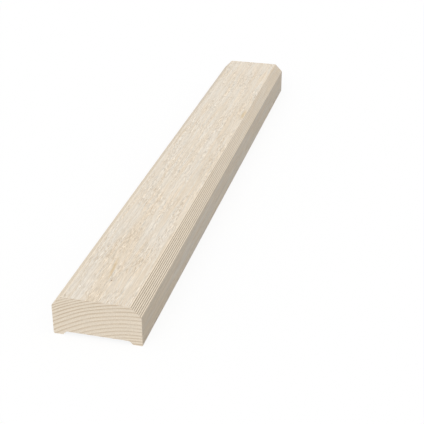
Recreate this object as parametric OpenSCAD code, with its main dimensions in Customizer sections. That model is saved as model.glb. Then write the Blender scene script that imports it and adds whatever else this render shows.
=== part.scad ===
// Planed softwood plank for a rail or capping, moulded from one length of timber.
// A wide chamfer runs along each top edge. A shallow relief runs along the
// underside and leaves two feet for the plank to rest on.
// Sizes are in millimetres. The plank lies along Y, with +Z up, and the origin
// is the centre of its footprint, level with the feet.

/* [Stock] */
// Length of the plank, from end to end
length = 740; // [100:10:6000]
// Width across the two sides
width = 95; // [75:1:180]
// Height from the feet to the top face
height = 45; // [32:1:75]

/* [Chamfers] */
// Leg of each chamfer, measured in from the side
chamfer_in = 11; // [3:0.5:15]
// Leg of each chamfer, measured down from the top face
chamfer_down = 11; // [3:0.5:15]

/* [Relief] */
// Depth of the relief in the underside
relief_depth = 4; // [2:0.5:8]
// Width of each foot beside the relief
foot_width = 10; // [6:0.5:16]
// Lean of the relief's side walls from upright, in degrees
relief_wall_lean = 45; // [0:5:60]
// Radius that the cutter leaves where those walls meet the ceiling
relief_fillet = 2; // [0.5:0.5:3]

/* [Arrises] */
// Radius of the eased arrises that run along the plank
arris_radius = 0.8; // [0.2:0.1:1.5]

/* [Hidden] */
$fn = 64;

timber_colour = "#e6dac9";
// How far a corner piece reaches past the corner that it shapes
overrun = 1;
// An arc's centre stands this share of its radius off both edges, so that the
// arc crosses them at a slight angle, as a worn cutter leaves it
stand_off_share = 0.99;

half_width = width / 2;
shoulder_height = height - chamfer_down;
foot_inner_edge = half_width - foot_width;
wall_slope_share = tan(relief_wall_lean);

// Corners of the section's right-hand half, each as [across, up]
ceiling_corner = [foot_inner_edge - relief_depth * wall_slope_share, relief_depth];
foot_inner_corner = [foot_inner_edge, 0];
foot_outer_corner = [half_width, 0];
shoulder_corner = [half_width, shoulder_height];
top_corner = [half_width - chamfer_in, height];
// The relief's wall carried on below the feet, where the cutter runs clear
mouth_corner = [foot_inner_edge + overrun * wall_slope_share, -overrun];

function unit(v) = v / norm(v);
function mirrored(corner) = [-corner[0], corner[1]];

// The same shape on the right-hand side and on the left
module both_hands() {
    children();
    mirror([1, 0, 0]) children();
}

// The sliver between a corner and the arc that rounds it
module corner_piece(before, corner, after, radius) {
    stand_off = radius * stand_off_share;
    back = unit(before - corner);
    ahead = unit(after - corner);
    inward = unit(back + ahead);
    half_angle = acos(back * ahead) / 2;
    reach = stand_off / tan(half_angle);
    centre = corner + inward * stand_off / sin(half_angle);
    // Each edge's point nearest the centre, carried as far again past the edge
    past_back = 2 * (corner + back * reach) - centre;
    past_ahead = 2 * (corner + ahead * reach) - centre;
    difference() {
        polygon([centre, past_back, corner - inward * overrun, past_ahead]);
        translate(centre) circle(r = radius);
    }
}

// The shallow relief that is cut from the underside, with its corners filleted
module relief() {
    difference() {
        polygon([mouth_corner, ceiling_corner, mirrored(ceiling_corner), mirrored(mouth_corner)]);
        both_hands()
            corner_piece(mouth_corner, ceiling_corner, mirrored(ceiling_corner), relief_fillet);
    }
}

// The moulded section, with each of its arrises eased
module section() {
    difference() {
        polygon([
            foot_outer_corner, shoulder_corner, top_corner,
            mirrored(top_corner), mirrored(shoulder_corner), mirrored(foot_outer_corner),
        ]);
        relief();
        both_hands() {
            corner_piece(ceiling_corner, foot_inner_corner, foot_outer_corner, arris_radius);
            corner_piece(foot_inner_corner, foot_outer_corner, shoulder_corner, arris_radius);
            corner_piece(foot_outer_corner, shoulder_corner, top_corner, arris_radius);
            corner_piece(shoulder_corner, top_corner, mirrored(top_corner), arris_radius);
        }
    }
}

// The plank itself, one solid from end to end
module plank() {
    color(timber_colour)
        rotate([90, 0, 0])
            linear_extrude(height = length, center = true)
                section();
}

plank();
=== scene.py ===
"""A planed softwood plank with two chamfers and a relieved underside, dressed for its picture.

Lengths are in millimetres, apart from those of the floor and the camera, which are in metres. The plank
lies along Y with its top face up, and the origin is the middle of its footprint, level with its feet.
"""

import math

import bpy
import numpy as np
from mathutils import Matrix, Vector


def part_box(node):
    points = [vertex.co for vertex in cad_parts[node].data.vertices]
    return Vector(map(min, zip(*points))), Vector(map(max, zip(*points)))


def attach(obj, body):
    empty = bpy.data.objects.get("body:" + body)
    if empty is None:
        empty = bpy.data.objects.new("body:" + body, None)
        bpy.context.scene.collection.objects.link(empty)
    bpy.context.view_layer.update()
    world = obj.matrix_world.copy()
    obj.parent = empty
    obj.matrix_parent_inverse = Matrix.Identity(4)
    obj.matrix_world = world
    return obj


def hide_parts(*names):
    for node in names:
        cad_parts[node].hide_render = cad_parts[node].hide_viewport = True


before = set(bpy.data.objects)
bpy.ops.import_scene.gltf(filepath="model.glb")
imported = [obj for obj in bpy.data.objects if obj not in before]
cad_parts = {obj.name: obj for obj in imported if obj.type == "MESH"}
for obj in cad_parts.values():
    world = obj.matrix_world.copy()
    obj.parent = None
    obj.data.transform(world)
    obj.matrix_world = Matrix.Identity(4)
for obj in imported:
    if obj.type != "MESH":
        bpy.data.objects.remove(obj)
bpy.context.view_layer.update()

MM = 0.001
TURN = 2.0 * math.pi

# Moulded section: the outer sizes come from the frame, and the moulder's cuts are given here
box_low, box_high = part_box("plank")
WIDTH, LENGTH, HEIGHT = [(high - low) / MM for low, high in zip(box_low, box_high)]
NEAR_END = -LENGTH / 2
CHAMFER = 11.0
RELIEF_DEPTH = 4.0
FOOT_WIDTH = 10.0
ARRIS_RADIUS = 0.8
FILLET_RADIUS = 2.0

# Steps of the mesh along each run of the section's right-hand half, and along the plank
ARC_STEPS = 5
WALL_STEPS = 6
FOOT_STEPS = 12
SIDE_STEPS = 36
CHAMFER_STEPS = 84
TOP_STEPS = 52
# As many steps below the side as above it, so that a grid across an end can join the two
CEILING_STEPS = CHAMFER_STEPS + TOP_STEPS - ARC_STEPS - WALL_STEPS - FOOT_STEPS
LENGTH_STEPS = 90

# Grid across an end, inside a narrow rim, and the angle past which an edge shows as a crease
END_RIM_WIDTH = 0.6
EVEN_COLUMN_SHARE = 0.5
CREASE_ANGLE = math.radians(40.0)

# UV map of the plank, with its name: the skin lies below and the ends above
BAKE_MAP = "OFBake"
SKIN_MAP_SHARE = 0.88
MAP_MARGIN = 0.004

# Growth rings: the pith lies below the plank and to its right, and the stem tapers and bows along it
PITH_ACROSS = 51.3
PITH_BELOW_TOP = 185.7
RING_WIDTH = 3.82
RING_NARROWING = 0.00281
RING_NARROWING_RISE = 0.000056
RING_SHIFT = 0.306
STEM_TAPER = 0.005
BOW_HEIGHT = 2.4
BOW_WAVE = 215.0
SWAY = 8.0
SWAY_WAVE = 330.0
RIPPLE = 0.12
SLOW_RIPPLE_WAVES = (6.1, 95.0)
QUICK_RIPPLE_WAVES = (17.0, -61.0, 4.7)
RING_CHANGE = 0.05
GOOD_YEAR_WAVE = 1.91
GOOD_YEAR_LAG = 0.54
LATEWOOD_GATHERS = (0.46, 0.84)
LATEWOOD_STOPS = (0.99, 0.92)
PALEST_RING = 0.6
RING_DARKNESS_TURN = 0.38
RING_DARKNESS_LAG = 0.6

# Knife lines: shallow grooves that a nicked moulding knife left along both chamfers
LINE_PITCH = 2.135
FIRST_LINE = 0.85
LINE_SHARPNESS = 5.0
LINE_FADING = 0.75
LINE_FADES = (NEAR_END, -NEAR_END)
CHAMFER_SKIN = (0.75, 0.45)

# Fine relief, all of it cut into the wood so that the plank keeps its size: depths, sizes and seeds
SOFT_WOOD_DROP = 0.04
TORN_FIBRE_DEPTH = 0.06
TORN_FIBRE_SIZE = (0.9, 4.5, 0.9)
TORN_FIBRE_STARTS = (0.9, 2.4)
TORN_FIBRE_SEED = 3
LINE_DEPTH = 0.35
END_SOFT_WOOD_DROP = 0.1
SAW_MARK_DEPTH = 0.04
SAW_MARK_PITCH = 1.9
SAW_LEAN = math.radians(12.0)
SAW_SLIP = 0.6
SAW_SLIP_SIZE = (9.0, 50.0, 14.0)
SAW_SLIP_SEED = 5
WAVES_SUMMED = 28

# Colours of the wood, as linear red, green, blue and alpha
PALE_WOOD = (0.790, 0.725, 0.632, 1.0)
HONEY_WOOD = (0.805, 0.703, 0.572, 1.0)
TAN_WOOD = (0.725, 0.605, 0.455, 1.0)
DASH_BROWN = (0.500, 0.370, 0.225, 1.0)
PLANED_LATEWOOD = (0.700, 0.590, 0.450, 1.0)
# Painted highlight: the lighter colour given to the chamfers between the knife lines
RIDGE_HIGHLIGHT = (0.950, 0.830, 0.665, 1.0)
END_EARLYWOOD = (0.870, 0.765, 0.625, 1.0)
END_LATEWOOD = (0.600, 0.465, 0.320, 1.0)
GROOVE_SHADE = (0.260, 0.195, 0.130, 1.0)
RESIN = (0.620, 0.445, 0.215, 1.0)
PIN_KNOT = (0.230, 0.140, 0.070, 1.0)

# Lumps of the figure: width across the grain, length along it, and octaves of finer lumps
BEND_LUMPS = (10.0, 70.0, 2.0)
WAVER_LUMPS = (3.2, 24.0, 3.0)
FIBRE_LUMPS = (0.35, 34.0, 2.0)
FLECK_LUMPS = (0.9, 11.0, 3.0)
CANAL_LUMPS = (0.45, 8.0, 2.0)
STREAK_LUMPS = (2.4, 110.0, 2.0)
CLOUD_LUMPS = (12.0, 60.0, 2.0)
WARMTH_LUMPS = (5.0, 90.0, 2.0)
FIGURE_LUMPS = (6.0, 38.0, 3.5)
GRAIN_LUMPS = (1.4, 90.0, 1.0)
RAGGED_LUMPS = (2.5, 9.0, 2.0)
PORE_LUMPS = (0.45, 9.0, 2.0)
END_FLECK_LUMPS = (1.4, 9.0, 3.0)
END_CLOUD_LUMPS = (16.0, 60.0, 2.0)
LUMP_ROUGHNESS = 0.55

# Shape of the figure: reaches in millimetres or rings, places to read lumps from, and edges of shares
BEND_REACH = 7.0
WAVER_REACH = 0.55
WARMTH_PLACE = 400.0
FIGURE_PLACE = 90.0
GRAIN_PLACE = 50.0
FIGURE_LINES = 9.0
FIGURE_LINE_EDGE = (0.2, 0.03)
CANAL_EDGE = (0.36, 0.26)
STREAK_EDGE = (0.5, 0.3)
WARM_EDGE = (0.4, 0.7)
BUSY_EDGE = (0.4, 0.58)
TOP_EDGE = (HEIGHT - 3.0, HEIGHT - 0.5)
CEILING_EDGE = (RELIEF_DEPTH + 3.0, RELIEF_DEPTH + 0.5)
# Painted highlight along the arrises between the top and the chamfers: its distances from the arris where
# it starts and where it is full
ARRIS_HIGHLIGHT_EDGE = (1.8, 0.5)
NEAR_SIDE_ACROSS = (WIDTH / 2 - 1.0, WIDTH / 2 - 0.3)
NEAR_SIDE_ALONG = (NEAR_END + 170.0, NEAR_END + 10.0)

# Strength of each part of the figure, as a share of its colour or as a change of tone
QUARTER_SAWN_BUSY = 0.3
CALM_BUSY = 0.35
PLANED_TONE = 1.02
# Painted highlight: how much lighter the top is made along its arrises with the chamfers
ARRIS_HIGHLIGHT_TONE = 0.04
FLECK_TONE = 1.2
FIBRE_TONE = 0.2
GRAIN_TONE = 0.36
STREAK_SHARE = 0.5
CANAL_SHARE = 0.35
FIGURE_SHARE = 0.46
LATEWOOD_SHARE = 0.3
CHAMFER_TAN_SHARE = 0.3
# Painted highlight on the chamfers: the share it loses, so that none is left at the far end
RIDGE_HIGHLIGHT_LOSS = 0.25
NEAR_SIDE_SHARE = 0.4

# Warmth of the wood: more in the heart, less in the sap, and a gain per millimetre towards the pith
HEART_WARMTH = 0.25
SAP_COOLNESS = 0.25
WARMTH_LEAN = 0.0014

# Marks on the top face: centre and half size, each across and along, then the softness of the edge
HEART_PATCH = ((-7.0, NEAR_END + 70.0), (9.0, 120.0), 0.9)
SAP_PATCH = ((-34.0, NEAR_END + 40.0), (16.0, 70.0), 0.9)
RESIN_STREAK = ((-3.4, NEAR_END + 64.0), (1.2, 20.0), 0.7)
LONG_STREAK = ((-5.2, NEAR_END + 130.0), (1.6, 60.0), 0.8)
RESIN_POCKET = ((33.8, NEAR_END + 513.0), (2.2, 15.0), 0.8)
KNOT_SPOT = ((1.7, NEAR_END + 42.2), (0.7, 0.9), 0.3)
RESIN_STREAK_SLANT = 0.11
RESIN_STREAK_PIVOT = NEAR_END + 57.0
LONG_STREAK_SLANT = 0.02
LONG_STREAK_PIVOT = NEAR_END + 120.0
RAGGED_REACH = 3.0
RESIN_SHARE = 0.6
LONG_STREAK_SHARE = 0.72
LONG_STREAK_LOSS = 0.9

# Sawn ends: strength of the rings, of each change of tone, and where the lumps let the rings through
RING_SHARE = 0.92
RING_CLOUD_EDGE = (0.05, 0.6)
END_FLECK_TONE = 0.42
PORE_TONE = 0.24
END_CLOUD_TONE = 0.08

# Sheen and bump, with the bump's heights in millimetres
WOOD_SHINE = 0.3
PLANED_ROUGHNESS = 0.72
FLECK_ROUGHNESS = 0.15
LATEWOOD_POLISH = 0.08
RESIN_POLISH = 0.2
SAWN_ROUGHNESS = 0.78
PORE_ROUGHNESS = 0.12
FIBRE_HEIGHT = 0.03
FLECK_HEIGHT = 0.06
CANAL_DEPTH = 0.05
PORE_HEIGHT = 0.06
END_FLECK_HEIGHT = 0.08

# Numbers of a Mix node's sockets for colours, whose names are also those of its other sockets
MIX_SHARE = 0
MIX_FIRST = 6
MIX_SECOND = 7
MIX_RESULT = 2

# Lamps and floor, with the floor's reach in metres
DOME_LIGHT = 0.7
KEY_LIGHT = 1.52
KEY_FROM = (0.0, -0.785, 0.62)
KEY_SPREAD = math.radians(60.0)
FLOOR_BOUNCE = (0.26, 0.26, 0.26, 1.0)
WHITE = (1.0, 1.0, 1.0, 1.0)
FLOOR_SHADOW_SHARE = 0.15
FLOOR_REACH = 6.0

# Camera, in metres, with its lens in millimetres
CAMERA_PLACE = (0.3096, -1.1159, 0.5672)
CAMERA_AIM = (0.0431, -0.0746, 0.0)
CAMERA_LENS = 81.885
CAMERA_SENSOR = 36.0


class Shade:
    """A shader socket that takes part in sums, so that a formula reads as it would on paper."""

    def __init__(self, tree, socket=None):
        self.tree = tree
        self.socket = socket

    def node(self, kind, settings, inputs, output=0):
        """Adds a node of that kind: its settings first, then its sockets' values or links."""
        added = self.tree.nodes.new(kind)
        for name, setting in settings.items():
            setattr(added, name, setting)
        for name, given in inputs.items():
            if isinstance(given, Shade):
                self.tree.links.new(given.socket, added.inputs[name])
            else:
                added.inputs[name].default_value = given
        return Shade(self.tree, added.outputs[output] if added.outputs else None)

    def out(self, name):
        """Another output of the same node."""
        return Shade(self.tree, self.socket.node.outputs[name])

    def maths(self, operation, *values):
        """A Math node on these values."""
        return self.node("ShaderNodeMath", {"operation": operation}, dict(enumerate(values)))

    def __add__(self, other):
        return self.maths("ADD", self, other)

    def __radd__(self, other):
        return self.maths("ADD", other, self)

    def __sub__(self, other):
        return self.maths("SUBTRACT", self, other)

    def __rsub__(self, other):
        return self.maths("SUBTRACT", other, self)

    def __mul__(self, other):
        return self.maths("MULTIPLY", self, other)

    def __rmul__(self, other):
        return self.maths("MULTIPLY", other, self)

    def __truediv__(self, other):
        return self.maths("DIVIDE", self, other)

    def __mod__(self, other):
        return self.maths("FLOORED_MODULO", self, other)

    def __pow__(self, other):
        return self.maths("POWER", self, other)

    def __abs__(self):
        return self.maths("ABSOLUTE", self)

    # numpy's functions of these names call the methods, so that one formula serves arrays and sockets
    def sin(self):
        return self.maths("SINE", self)

    def cos(self):
        return self.maths("COSINE", self)

    def sqrt(self):
        return self.maths("SQRT", self)

    def ramp(self, low, high):
        """Smooth step from 0 at low to 1 at high."""
        return self.node(
            "ShaderNodeMapRange",
            {"interpolation_type": "SMOOTHSTEP"},
            {"Value": self, "From Min": low, "From Max": high},
        )


def ramp(value, low, high):
    """Smooth step from 0 at low to 1 at high, 3t² - 2t³ of the share t, for an array or a Shade."""
    if isinstance(value, Shade):
        return value.ramp(low, high)
    share = np.clip((value - low) / (high - low), 0.0, 1.0)
    return share * share * (3.0 - 2.0 * share)


# The wood's own pattern, the same for the mesh and for its colour

def ring_count(across, along, up):
    """Growth rings passed on the way out from the pith, up to a whole number.

    The distance from the pith, less the pith's depth below the top face, is divided by the ring width.
    Its square and cube make the rings narrower outward, and a sine of it makes some wider than others.
    The stem's taper, bow and sway all start from nothing at the near end, and two ripples make the
    distance uneven.
    """
    run = along - NEAR_END
    sideways = across - PITH_ACROSS + SWAY * np.sin(run / SWAY_WAVE)
    rise = up - HEIGHT + PITH_BELOW_TOP + STEM_TAPER * run + BOW_HEIGHT * np.sin(run / BOW_WAVE)
    outward = np.sqrt(sideways * sideways + rise * rise) - PITH_BELOW_TOP
    slow_ripple = np.sin(across / SLOW_RIPPLE_WAVES[0] + run / SLOW_RIPPLE_WAVES[1])
    quick_ripple = np.sin(
        across / QUICK_RIPPLE_WAVES[0] + run / QUICK_RIPPLE_WAVES[1] + up / QUICK_RIPPLE_WAVES[2]
    )
    outward = outward + RIPPLE * (slow_ripple + quick_ripple)
    narrowing = outward * outward * (RING_NARROWING + RING_NARROWING_RISE * outward)
    good_years = RING_CHANGE * np.sin(outward / GOOD_YEAR_WAVE + GOOD_YEAR_LAG)
    return outward / RING_WIDTH + narrowing + good_years + RING_SHIFT


def latewood(rings):
    """Share of dark latewood, which gathers slowly through a ring and stops sharply at its outer edge.

    Two smooth steps of the part of a ring that is passed, multiplied. A sine of the ring's whole number
    makes some rings paler than others.
    """
    part = rings % 1.0
    darkness = 0.5 + 0.5 * np.sin((rings - part) * RING_DARKNESS_TURN + RING_DARKNESS_LAG)
    shape = ramp(part, *LATEWOOD_GATHERS) * ramp(part, *LATEWOOD_STOPS)
    return shape * (PALEST_RING + (1.0 - PALEST_RING) * darkness)


def on_chamfer(across, up):
    """1 on a chamfer and 0 on other faces: a smooth step of the depth under the chamfer's plane."""
    depth = (WIDTH / 2 - abs(across) + HEIGHT - up - CHAMFER) / math.sqrt(2.0)
    return ramp(depth, *CHAMFER_SKIN)


def line_strength(along):
    """Strength of the knife lines: 1, less a fading that grows by a smooth step along the plank."""
    return 1.0 - LINE_FADING * ramp(along, *LINE_FADES)


def knife_lines(across, along, up):
    """Share of a knife line's groove, the most along its bottom.

    A raised cosine of the travel down the chamfer, narrowed by a power, times the lines' strength.
    """
    inward = WIDTH / 2 - abs(across)
    down = HEIGHT - up
    travel = (CHAMFER - inward + down) / math.sqrt(2.0)
    wave = 0.5 + 0.5 * np.cos((travel - FIRST_LINE) * (TURN / LINE_PITCH))
    return wave ** LINE_SHARPNESS * on_chamfer(across, up) * line_strength(along)


# The plank's mesh

def unit(vector):
    """The vector at a length of 1."""
    return vector / np.linalg.norm(vector)


def arc(before, corner, after, radius):
    """Arc that rounds a corner and touches both its edges.

    Its centre is on the corner's bisector. Its spokes turn evenly from one touching point to the other,
    each the sum of the two end spokes weighted by the sines of the angles that are left and passed.
    """
    back = unit(before - corner)
    ahead = unit(after - corner)
    half_angle = 0.5 * math.acos(back @ ahead)
    reach = radius / math.tan(half_angle)
    centre = corner + unit(back + ahead) * radius / math.sin(half_angle)
    first_spoke = corner + back * reach - centre
    last_spoke = corner + ahead * reach - centre
    turn = math.pi - 2.0 * half_angle
    passed = np.linspace(0.0, turn, ARC_STEPS + 1)[:, None]
    spokes = np.sin(turn - passed) * first_spoke + np.sin(passed) * last_spoke
    return centre + spokes / math.sin(turn)


def half_section():
    """Right-hand half of the section as points [across, up], from the relief's middle to the top's.

    Each run between two arcs is split into even steps.
    """
    side = WIDTH / 2
    foot_edge = side - FOOT_WIDTH
    corners = np.array([
        [0.0, RELIEF_DEPTH],
        [foot_edge - RELIEF_DEPTH, RELIEF_DEPTH],
        [foot_edge, 0.0],
        [side, 0.0],
        [side, HEIGHT - CHAMFER],
        [side - CHAMFER, HEIGHT],
        [0.0, HEIGHT],
    ])
    radii = [FILLET_RADIUS, ARRIS_RADIUS, ARRIS_RADIUS, ARRIS_RADIUS, ARRIS_RADIUS]
    arcs = [arc(*corners[i:i + 3], radius) for i, radius in enumerate(radii)]
    stops = [corners[:1], *arcs, corners[-1:]]
    steps = [CEILING_STEPS, WALL_STEPS, FOOT_STEPS, SIDE_STEPS, CHAMFER_STEPS, TOP_STEPS]
    runs = [np.linspace(a[-1], b[0], n + 1)[1:-1] for a, b, n in zip(stops, stops[1:], steps)]
    pairs = [piece for stop, run in zip(stops, runs) for piece in (stop, run)]
    return np.concatenate([*pairs, stops[-1]])


def whole_section():
    """The section as a closed ring of points [across, up], and its outward normals.

    The ring is the right-hand half and then its mirror image. A normal is square to the line between
    the points on either side.
    """
    half = half_section()
    ring = np.concatenate([half, half[-2:0:-1] * [-1.0, 1.0]])
    forward = np.roll(ring, -1, axis=0) - np.roll(ring, 1, axis=0)
    normal = np.stack([forward[:, 1], -forward[:, 0]], axis=1)
    return ring, normal / np.linalg.norm(normal, axis=1, keepdims=True)


def uneven(across, along, up, sizes, seed):
    """Uneven field about 0 with a spread of 1: a sum of plane waves of seeded slant and phase.

    Each wave's length along an axis is about the size given for that axis.
    """
    dice = np.random.default_rng(seed)
    slants = dice.normal(size=(WAVES_SUMMED, 3)) / np.array(sizes)
    phases = dice.uniform(0.0, TURN, WAVES_SUMMED)
    waves = zip(slants, phases)
    total = sum(np.sin(across * a + along * b + up * c + phase) for (a, b, c), phase in waves)
    return total / math.sqrt(WAVES_SUMMED / 2)


def planed_drop(across, along, up):
    """How far a point of the planed faces lies under the moulder's true surface.

    Soft earlywood, torn fibres where an uneven field is high, and the knife lines add up.
    """
    soft = 1.0 - latewood(ring_count(across, along, up))
    torn = ramp(uneven(across, along, up, TORN_FIBRE_SIZE, TORN_FIBRE_SEED), *TORN_FIBRE_STARTS)
    return SOFT_WOOD_DROP * soft + TORN_FIBRE_DEPTH * torn + LINE_DEPTH * knife_lines(across, along, up)


def sawn_drop(across, along, up):
    """How far a point of an end lies under the saw's true cut.

    Soft earlywood and the saw's slanting tooth marks, a sine with an uneven phase, add up.
    """
    soft = 1.0 - latewood(ring_count(across, along, up))
    travel = across * math.cos(SAW_LEAN) + up * math.sin(SAW_LEAN)
    slip = SAW_SLIP * uneven(across, along, up, SAW_SLIP_SIZE, SAW_SLIP_SEED)
    tooth = 0.5 + 0.5 * np.sin(travel * TURN / SAW_MARK_PITCH + slip)
    return END_SOFT_WOOD_DROP * soft + SAW_MARK_DEPTH * tooth


def skin_points(ring, normal, stations):
    """Planed skin: point (k, p) is point p of the section at station k, moved in along its normal.

    The first and last rings are also moved in along the plank, by the saw's own drop.
    """
    along, across = np.meshgrid(stations, ring[:, 0], indexing="ij")
    up = np.broadcast_to(ring[:, 1], along.shape)
    drop = planed_drop(across, along, up)
    across = across - normal[:, 0] * drop
    up = up - normal[:, 1] * drop
    for end, inward in ((0, 1.0), (-1, -1.0)):
        along[end] += inward * sawn_drop(across[end], along[end], up[end])
    return np.stack([across, along, up], axis=-1)


def end_grid(ring, normal):
    """Grid of points [across, up] inside an end's narrow rim, and the ring point beside each border point.

    Point (i, j) divides the line from the moved-in section's point i below to its point i above in the
    ratio j. A sine of j draws the columns towards even spacing at mid-height. The rim is deeper than any
    drop of the skin.
    """
    ring_size = len(ring)
    half_size = ring_size // 2
    reach = (half_size - SIDE_STEPS) // 2
    columns = np.arange(-reach, reach + 1)[:, None]
    rows = np.arange(SIDE_STEPS + 1)[None, :]
    step = np.where(rows == SIDE_STEPS, half_size - abs(columns), reach + rows)
    step = np.where(rows == 0, abs(columns), step)
    beside = np.where(columns < 0, ring_size - step, step) % ring_size
    border = (rows == 0) | (rows == SIDE_STEPS) | (abs(columns) == reach)

    core = ring - normal * END_RIM_WIDTH
    under = core[beside[:, 0]]
    over = core[beside[:, -1]]
    share = rows / SIDE_STEPS
    grid = under[:, None] + (over - under)[:, None] * share[..., None]
    even = columns / reach * core[:, 0].max()
    grid[..., 0] += EVEN_COLUMN_SHARE * np.sin(math.pi * share) * (even - grid[..., 0])
    return grid, beside, border


def bake_places(ring, points, skin_faces, end_faces):
    """Places of the faces' corners on the map: the skin unrolled, and above it the ends side by side.

    Skin: the share of the way round the section, and the share of the way along the plank. Ends: the
    shares of the plank's width and height.
    """
    length_round = np.cumsum(np.linalg.norm(np.roll(ring, -1, axis=0) - ring, axis=1))
    stops = np.append(0.0, length_round / length_round[-1])
    around = np.stack([stops[:-1], stops[:-1], stops[1:], stops[1:]], axis=-1)
    around = np.broadcast_to(around, (LENGTH_STEPS, *around.shape)).reshape(-1, 4)
    onward = points[skin_faces, 1] / LENGTH + 0.5
    skin_room = 1.0 - 2.0 * MAP_MARGIN
    skin = np.stack([
        MAP_MARGIN + skin_room * around,
        SKIN_MAP_SHARE * (MAP_MARGIN + skin_room * onward),
    ], axis=-1)

    end_room = 0.5 - 2.0 * MAP_MARGIN
    end_height = 1.0 - SKIN_MAP_SHARE - MAP_MARGIN
    ends = []
    for end, faces in enumerate(end_faces):
        sideways = points[faces, 0] / WIDTH + 0.5
        upward = points[faces, 2] / HEIGHT
        ends.append(np.stack([
            0.5 * end + MAP_MARGIN + end_room * sideways,
            SKIN_MAP_SHARE + end_height * upward,
        ], axis=-1))
    return np.concatenate([skin, *ends]).reshape(-1, 2)


def plank_mesh():
    """The section carried along the plank as a closed skin, with a rim and a grid across each end."""
    ring, normal = whole_section()
    ring_size = len(ring)
    stations = np.linspace(NEAR_END, -NEAR_END, LENGTH_STEPS + 1)
    points = [skin_points(ring, normal, stations).reshape(-1, 3)]
    start = np.arange(LENGTH_STEPS)[:, None] * ring_size
    here = np.arange(ring_size)
    after = (here + 1) % ring_size
    skin_faces = np.stack(
        [start + here, start + ring_size + here, start + ring_size + after, start + after], axis=-1
    ).reshape(-1, 4)

    grid, beside, border = end_grid(ring, normal)
    across, up = grid.reshape(-1, 2).T
    end_faces = []
    for station, inward in ((0, 1.0), (LENGTH_STEPS, -1.0)):
        along = np.full(len(across), stations[station])
        along = along + inward * sawn_drop(across, along, up)
        number = sum(len(block) for block in points) + np.arange(len(across)).reshape(beside.shape)
        points.append(np.stack([across, along, up], axis=-1))
        outer = station * ring_size + here
        inner = np.empty(ring_size, dtype=int)
        inner[beside[border]] = number[border]
        rim = np.stack([outer, outer[after], inner[after], inner], axis=-1)
        fill = np.stack([number[:-1, :-1], number[1:, :-1], number[1:, 1:], number[:-1, 1:]], axis=-1)
        faces = np.concatenate([rim, fill.reshape(-1, 4)])
        end_faces.append(faces if inward > 0 else faces[:, ::-1])

    points = np.concatenate(points)
    faces = np.concatenate([skin_faces, *end_faces])
    is_end = np.arange(len(faces)) >= len(skin_faces)
    mesh = bpy.data.meshes.new("timber_plank")
    mesh.vertices.add(len(points))
    mesh.vertices.foreach_set("co", (points * MM).ravel())
    mesh.loops.add(faces.size)
    mesh.loops.foreach_set("vertex_index", faces.ravel().astype(np.int32))
    mesh.polygons.add(len(faces))
    mesh.polygons.foreach_set("loop_start", np.arange(0, faces.size, 4, dtype=np.int32))
    mesh.polygons.foreach_set("material_index", is_end.astype(np.int32))
    bake_map = mesh.uv_layers.new(name=BAKE_MAP)
    bake_map.uv.foreach_set("vector", bake_places(ring, points, skin_faces, end_faces).ravel())
    mesh.update(calc_edges=True)
    mesh.validate()
    mesh.shade_smooth()
    mesh.set_sharp_from_angle(angle=CREASE_ANGLE)
    return mesh


# The wood's finish

def new_material(name):
    """A material with an empty node tree."""
    material = bpy.data.materials.new(name)
    material.use_nodes = True
    material.node_tree.nodes.clear()
    return material


def place(tree):
    """Across, along and up from the plank's origin, in millimetres, read from Object coordinates."""
    point = Shade(tree).node("ShaderNodeTexCoord", {}, {}, "Object")
    parts = point.node("ShaderNodeSeparateXYZ", {}, {"Vector": point})
    return [parts.out(axis) / MM for axis in "XYZ"]


def lumps(across, along, up, shape):
    """Cloudy noise about 0.5 whose lumps have the given width across the grain and length along it."""
    width, length, octaves = shape
    stretched = {"X": across / width, "Y": along / length, "Z": up / width}
    point = across.node("ShaderNodeCombineXYZ", {}, stretched)
    return across.node(
        "ShaderNodeTexNoise",
        {},
        {"Vector": point, "Scale": 1.0, "Detail": octaves, "Roughness": LUMP_ROUGHNESS},
    )


def tint(share, first, second):
    """First colour where the share is 0, second where it is 1, and a straight blend between."""
    given = {MIX_SHARE: share, MIX_FIRST: first, MIX_SECOND: second}
    return share.node("ShaderNodeMix", {"data_type": "RGBA"}, given, MIX_RESULT)


def toned(colour, tone):
    """A colour made lighter or darker by a factor."""
    return colour.node("ShaderNodeVectorMath", {"operation": "SCALE"}, {"Vector": colour, "Scale": tone})


def spot(across, along, mark):
    """Share of an oval mark seen from above: 1 inside, fading to 0 over the given share of its size."""
    centre, size, softness = mark
    sideways = (across - centre[0]) / size[0]
    onward = (along - centre[1]) / size[1]
    return ramp(np.sqrt(sideways * sideways + onward * onward), 1.0 + softness, 1.0 - softness)


def wood_surface(colour, roughness, height):
    """Ends the node tree with a matt wood shader, whose bump is a height in millimetres."""
    bump = colour.node("ShaderNodeBump", {}, {"Strength": 1.0, "Distance": MM, "Height": height})
    surface = colour.node(
        "ShaderNodeBsdfPrincipled",
        {},
        {"Base Color": colour, "Roughness": roughness, "Normal": bump, "Specular IOR Level": WOOD_SHINE},
    )
    colour.node("ShaderNodeOutputMaterial", {}, {"Surface": surface})


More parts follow.
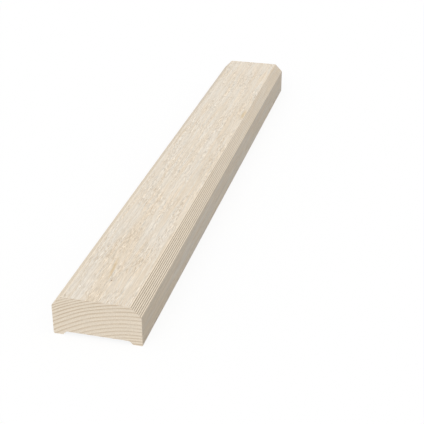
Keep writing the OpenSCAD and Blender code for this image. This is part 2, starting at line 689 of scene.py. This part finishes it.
def planed_faces():
    """Planed softwood, coloured from broad to fine: warmth, streaks, flecks, figure, rings and marks.

    The figure lines are the contours of broad lumps. The grain is read from a place that wide lumps push
    sideways, so that the fibres wander together. Flecks and figure lines are strongest on the flat-sawn
    faces and come and go in patches. Flecks make the edges of the resin marks ragged. Painted highlights
    lighten the chamfers between the knife lines and the top along its arrises.
    """
    material = new_material("planed_softwood")
    across, along, up = place(material.node_tree)
    bent = across + BEND_REACH * (lumps(across, along, up, BEND_LUMPS) - 0.5)
    fibre = lumps(bent, along, up, FIBRE_LUMPS)
    fleck = lumps(bent, along, up, FLECK_LUMPS)
    streak = lumps(bent, along, up, STREAK_LUMPS)
    grain = lumps(bent + GRAIN_PLACE, along, up, GRAIN_LUMPS)
    warmth = lumps(bent + WARMTH_PLACE, along, up, WARMTH_LUMPS)
    canal = ramp(lumps(bent, along, up, CANAL_LUMPS), *CANAL_EDGE)
    contour = lumps(bent + FIGURE_PLACE, along, up, FIGURE_LUMPS) * FIGURE_LINES
    figure_line = ramp(abs(contour % 1.0 - 0.5), *FIGURE_LINE_EDGE)
    waver = WAVER_REACH * (lumps(bent, along, up, WAVER_LUMPS) - 0.5)
    late = latewood(ring_count(across, along, up) + waver)

    top = ramp(up, *TOP_EDGE)
    flat_sawn = top + ramp(up, *CEILING_EDGE)
    patch = ramp(lumps(across, along, up, CLOUD_LUMPS), *BUSY_EDGE)
    face_busy = QUARTER_SAWN_BUSY + (1.0 - QUARTER_SAWN_BUSY) * flat_sawn
    busy = face_busy * (CALM_BUSY + (1.0 - CALM_BUSY) * patch)
    near_side = ramp(across, *NEAR_SIDE_ACROSS) * ramp(along, *NEAR_SIDE_ALONG)
    # Painted highlight: a lighter band on the top along its arrises with the chamfers
    arris_highlight = ramp(abs(abs(across) - (WIDTH / 2 - CHAMFER)), *ARRIS_HIGHLIGHT_EDGE) * top
    chamfer = on_chamfer(across, up)

    warmth = warmth + HEART_WARMTH * spot(across, along, HEART_PATCH)
    warmth = warmth - SAP_COOLNESS * spot(across, along, SAP_PATCH) + WARMTH_LEAN * across
    colour = tint(ramp(warmth, *WARM_EDGE), PALE_WOOD, HONEY_WOOD)
    colour = tint(near_side * NEAR_SIDE_SHARE, colour, TAN_WOOD)
    colour = tint(ramp(streak, *STREAK_EDGE) * STREAK_SHARE, colour, TAN_WOOD)
    tone = PLANED_TONE + ARRIS_HIGHLIGHT_TONE * arris_highlight + FLECK_TONE * busy * (fleck - 0.5)
    tone = tone + FIBRE_TONE * (fibre - 0.5) + GRAIN_TONE * (grain - 0.5)
    colour = toned(colour, tone)
    colour = tint(canal * busy * CANAL_SHARE, colour, DASH_BROWN)
    colour = tint(figure_line * busy * FIGURE_SHARE, colour, DASH_BROWN)
    colour = tint(late * LATEWOOD_SHARE, colour, PLANED_LATEWOOD)
    colour = tint(chamfer * CHAMFER_TAN_SHARE, colour, TAN_WOOD)
    # Painted highlight: the chamfers are made lighter between the knife lines, most at the near end,
    # fading as the lines do
    colour = tint(chamfer * (line_strength(along) - RIDGE_HIGHLIGHT_LOSS), colour, RIDGE_HIGHLIGHT)
    colour = tint(knife_lines(across, along, up), colour, GROOVE_SHADE)

    ragged = across + RAGGED_REACH * (fleck + lumps(across, along, up, RAGGED_LUMPS) - 1.0)
    long_streak = spot(ragged + LONG_STREAK_SLANT * (along - LONG_STREAK_PIVOT), along, LONG_STREAK)
    resin_streak = spot(ragged + RESIN_STREAK_SLANT * (along - RESIN_STREAK_PIVOT), along, RESIN_STREAK)
    resin = (resin_streak + spot(ragged, along, RESIN_POCKET)) * top
    colour = tint(long_streak * (LONG_STREAK_SHARE - LONG_STREAK_LOSS * fleck) * top, colour, TAN_WOOD)
    colour = tint(resin * RESIN_SHARE, colour, RESIN)
    colour = tint(spot(across, along, KNOT_SPOT) * top, colour, PIN_KNOT)

    roughness = PLANED_ROUGHNESS + FLECK_ROUGHNESS * (fleck - 0.5)
    roughness = roughness - LATEWOOD_POLISH * late - RESIN_POLISH * resin
    height = FIBRE_HEIGHT * fibre + FLECK_HEIGHT * fleck - CANAL_DEPTH * canal
    wood_surface(colour, roughness, height)
    return material


def sawn_ends():
    """Sawn end grain: growth rings that come and go in patches, with fine pores and flecks over them."""
    material = new_material("sawn_end_grain")
    across, along, up = place(material.node_tree)
    late = latewood(ring_count(across, along, up))
    pore = lumps(across, along, up, PORE_LUMPS)
    fleck = lumps(across, along, up, END_FLECK_LUMPS)
    cloud = lumps(across, along, up, END_CLOUD_LUMPS)

    colour = tint(late * ramp(cloud, *RING_CLOUD_EDGE) * RING_SHARE, END_EARLYWOOD, END_LATEWOOD)
    tone = 1.0 + END_FLECK_TONE * (fleck - 0.5) + PORE_TONE * (pore - 0.5)
    tone = tone + END_CLOUD_TONE * (cloud - 0.5)
    roughness = SAWN_ROUGHNESS + PORE_ROUGHNESS * (pore - 0.5)
    height = PORE_HEIGHT * pore + END_FLECK_HEIGHT * fleck
    wood_surface(toned(colour, tone), roughness, height)
    return material


# The studio

def seen_directly(tree):
    """1 for camera, glossy and transmission rays, and 0 for the rays that carry light to the plank."""
    path = Shade(tree).node("ShaderNodeLightPath", {}, {}, "Is Camera Ray")
    return ramp(path + path.out("Is Glossy Ray") + path.out("Is Transmission Ray"), 0.0, 1.0)


def studio_floor():
    """White floor that shows the plank's shadow faintly and bounces a plain share of the light."""
    material = new_material("studio_floor")
    seen = seen_directly(material.node_tree)
    bounce = seen.node("ShaderNodeBsdfDiffuse", {}, {"Color": FLOOR_BOUNCE})
    glow = seen.node("ShaderNodeEmission", {}, {"Color": WHITE, "Strength": 1.0})
    lit = seen.node("ShaderNodeBsdfDiffuse", {}, {"Color": WHITE})
    shown = seen.node("ShaderNodeMixShader", {}, {0: FLOOR_SHADOW_SHARE, 1: glow, 2: lit})
    surface = seen.node("ShaderNodeMixShader", {}, {0: seen, 1: bounce, 2: shown})
    seen.node("ShaderNodeOutputMaterial", {}, {"Surface": surface})

    corners = [(-1, -1), (1, -1), (1, 1), (-1, 1)]
    mesh = bpy.data.meshes.new("studio_floor")
    mesh.from_pydata([(x * FLOOR_REACH, y * FLOOR_REACH, 0.0) for x, y in corners], [], [(0, 1, 2, 3)])
    mesh.materials.append(material)
    floor = bpy.data.objects.new("studio_floor", mesh)
    bpy.context.scene.collection.objects.link(floor)


def studio_light():
    """An even dome, white where it is seen directly, and one broad soft key from the front."""
    world = bpy.data.worlds.new("studio_dome")
    world.use_nodes = True
    world.node_tree.nodes.clear()
    seen = seen_directly(world.node_tree)
    strength = DOME_LIGHT + (1.0 - DOME_LIGHT) * seen
    dome = seen.node("ShaderNodeBackground", {}, {"Color": WHITE, "Strength": strength})
    seen.node("ShaderNodeOutputWorld", {}, {"Surface": dome})
    bpy.context.scene.world = world

    key = bpy.data.lights.new("soft_key", "SUN")
    key.energy = KEY_LIGHT
    key.angle = KEY_SPREAD
    lamp = bpy.data.objects.new("soft_key", key)
    lamp.rotation_euler = Vector(KEY_FROM).to_track_quat("Z", "Y").to_euler()
    bpy.context.scene.collection.objects.link(lamp)


def studio_camera():
    """The camera at its place, turned to its aim with its top side up."""
    lens = bpy.data.cameras.new("camera")
    lens.lens = CAMERA_LENS
    lens.sensor_width = CAMERA_SENSOR
    camera = bpy.data.objects.new("camera", lens)
    camera.location = CAMERA_PLACE
    sight = Vector(CAMERA_AIM) - Vector(CAMERA_PLACE)
    camera.rotation_euler = sight.to_track_quat("-Z", "Y").to_euler()
    bpy.context.scene.collection.objects.link(camera)
    bpy.context.scene.camera = camera


studio_camera()
studio_floor()
studio_light()
bpy.context.scene.view_settings.view_transform = "Standard"

mesh = plank_mesh()
mesh.materials.append(planed_faces())
mesh.materials.append(sawn_ends())
plank = bpy.data.objects.new("timber_plank", mesh)
bpy.context.scene.collection.objects.link(plank)
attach(plank, "root")
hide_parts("plank")
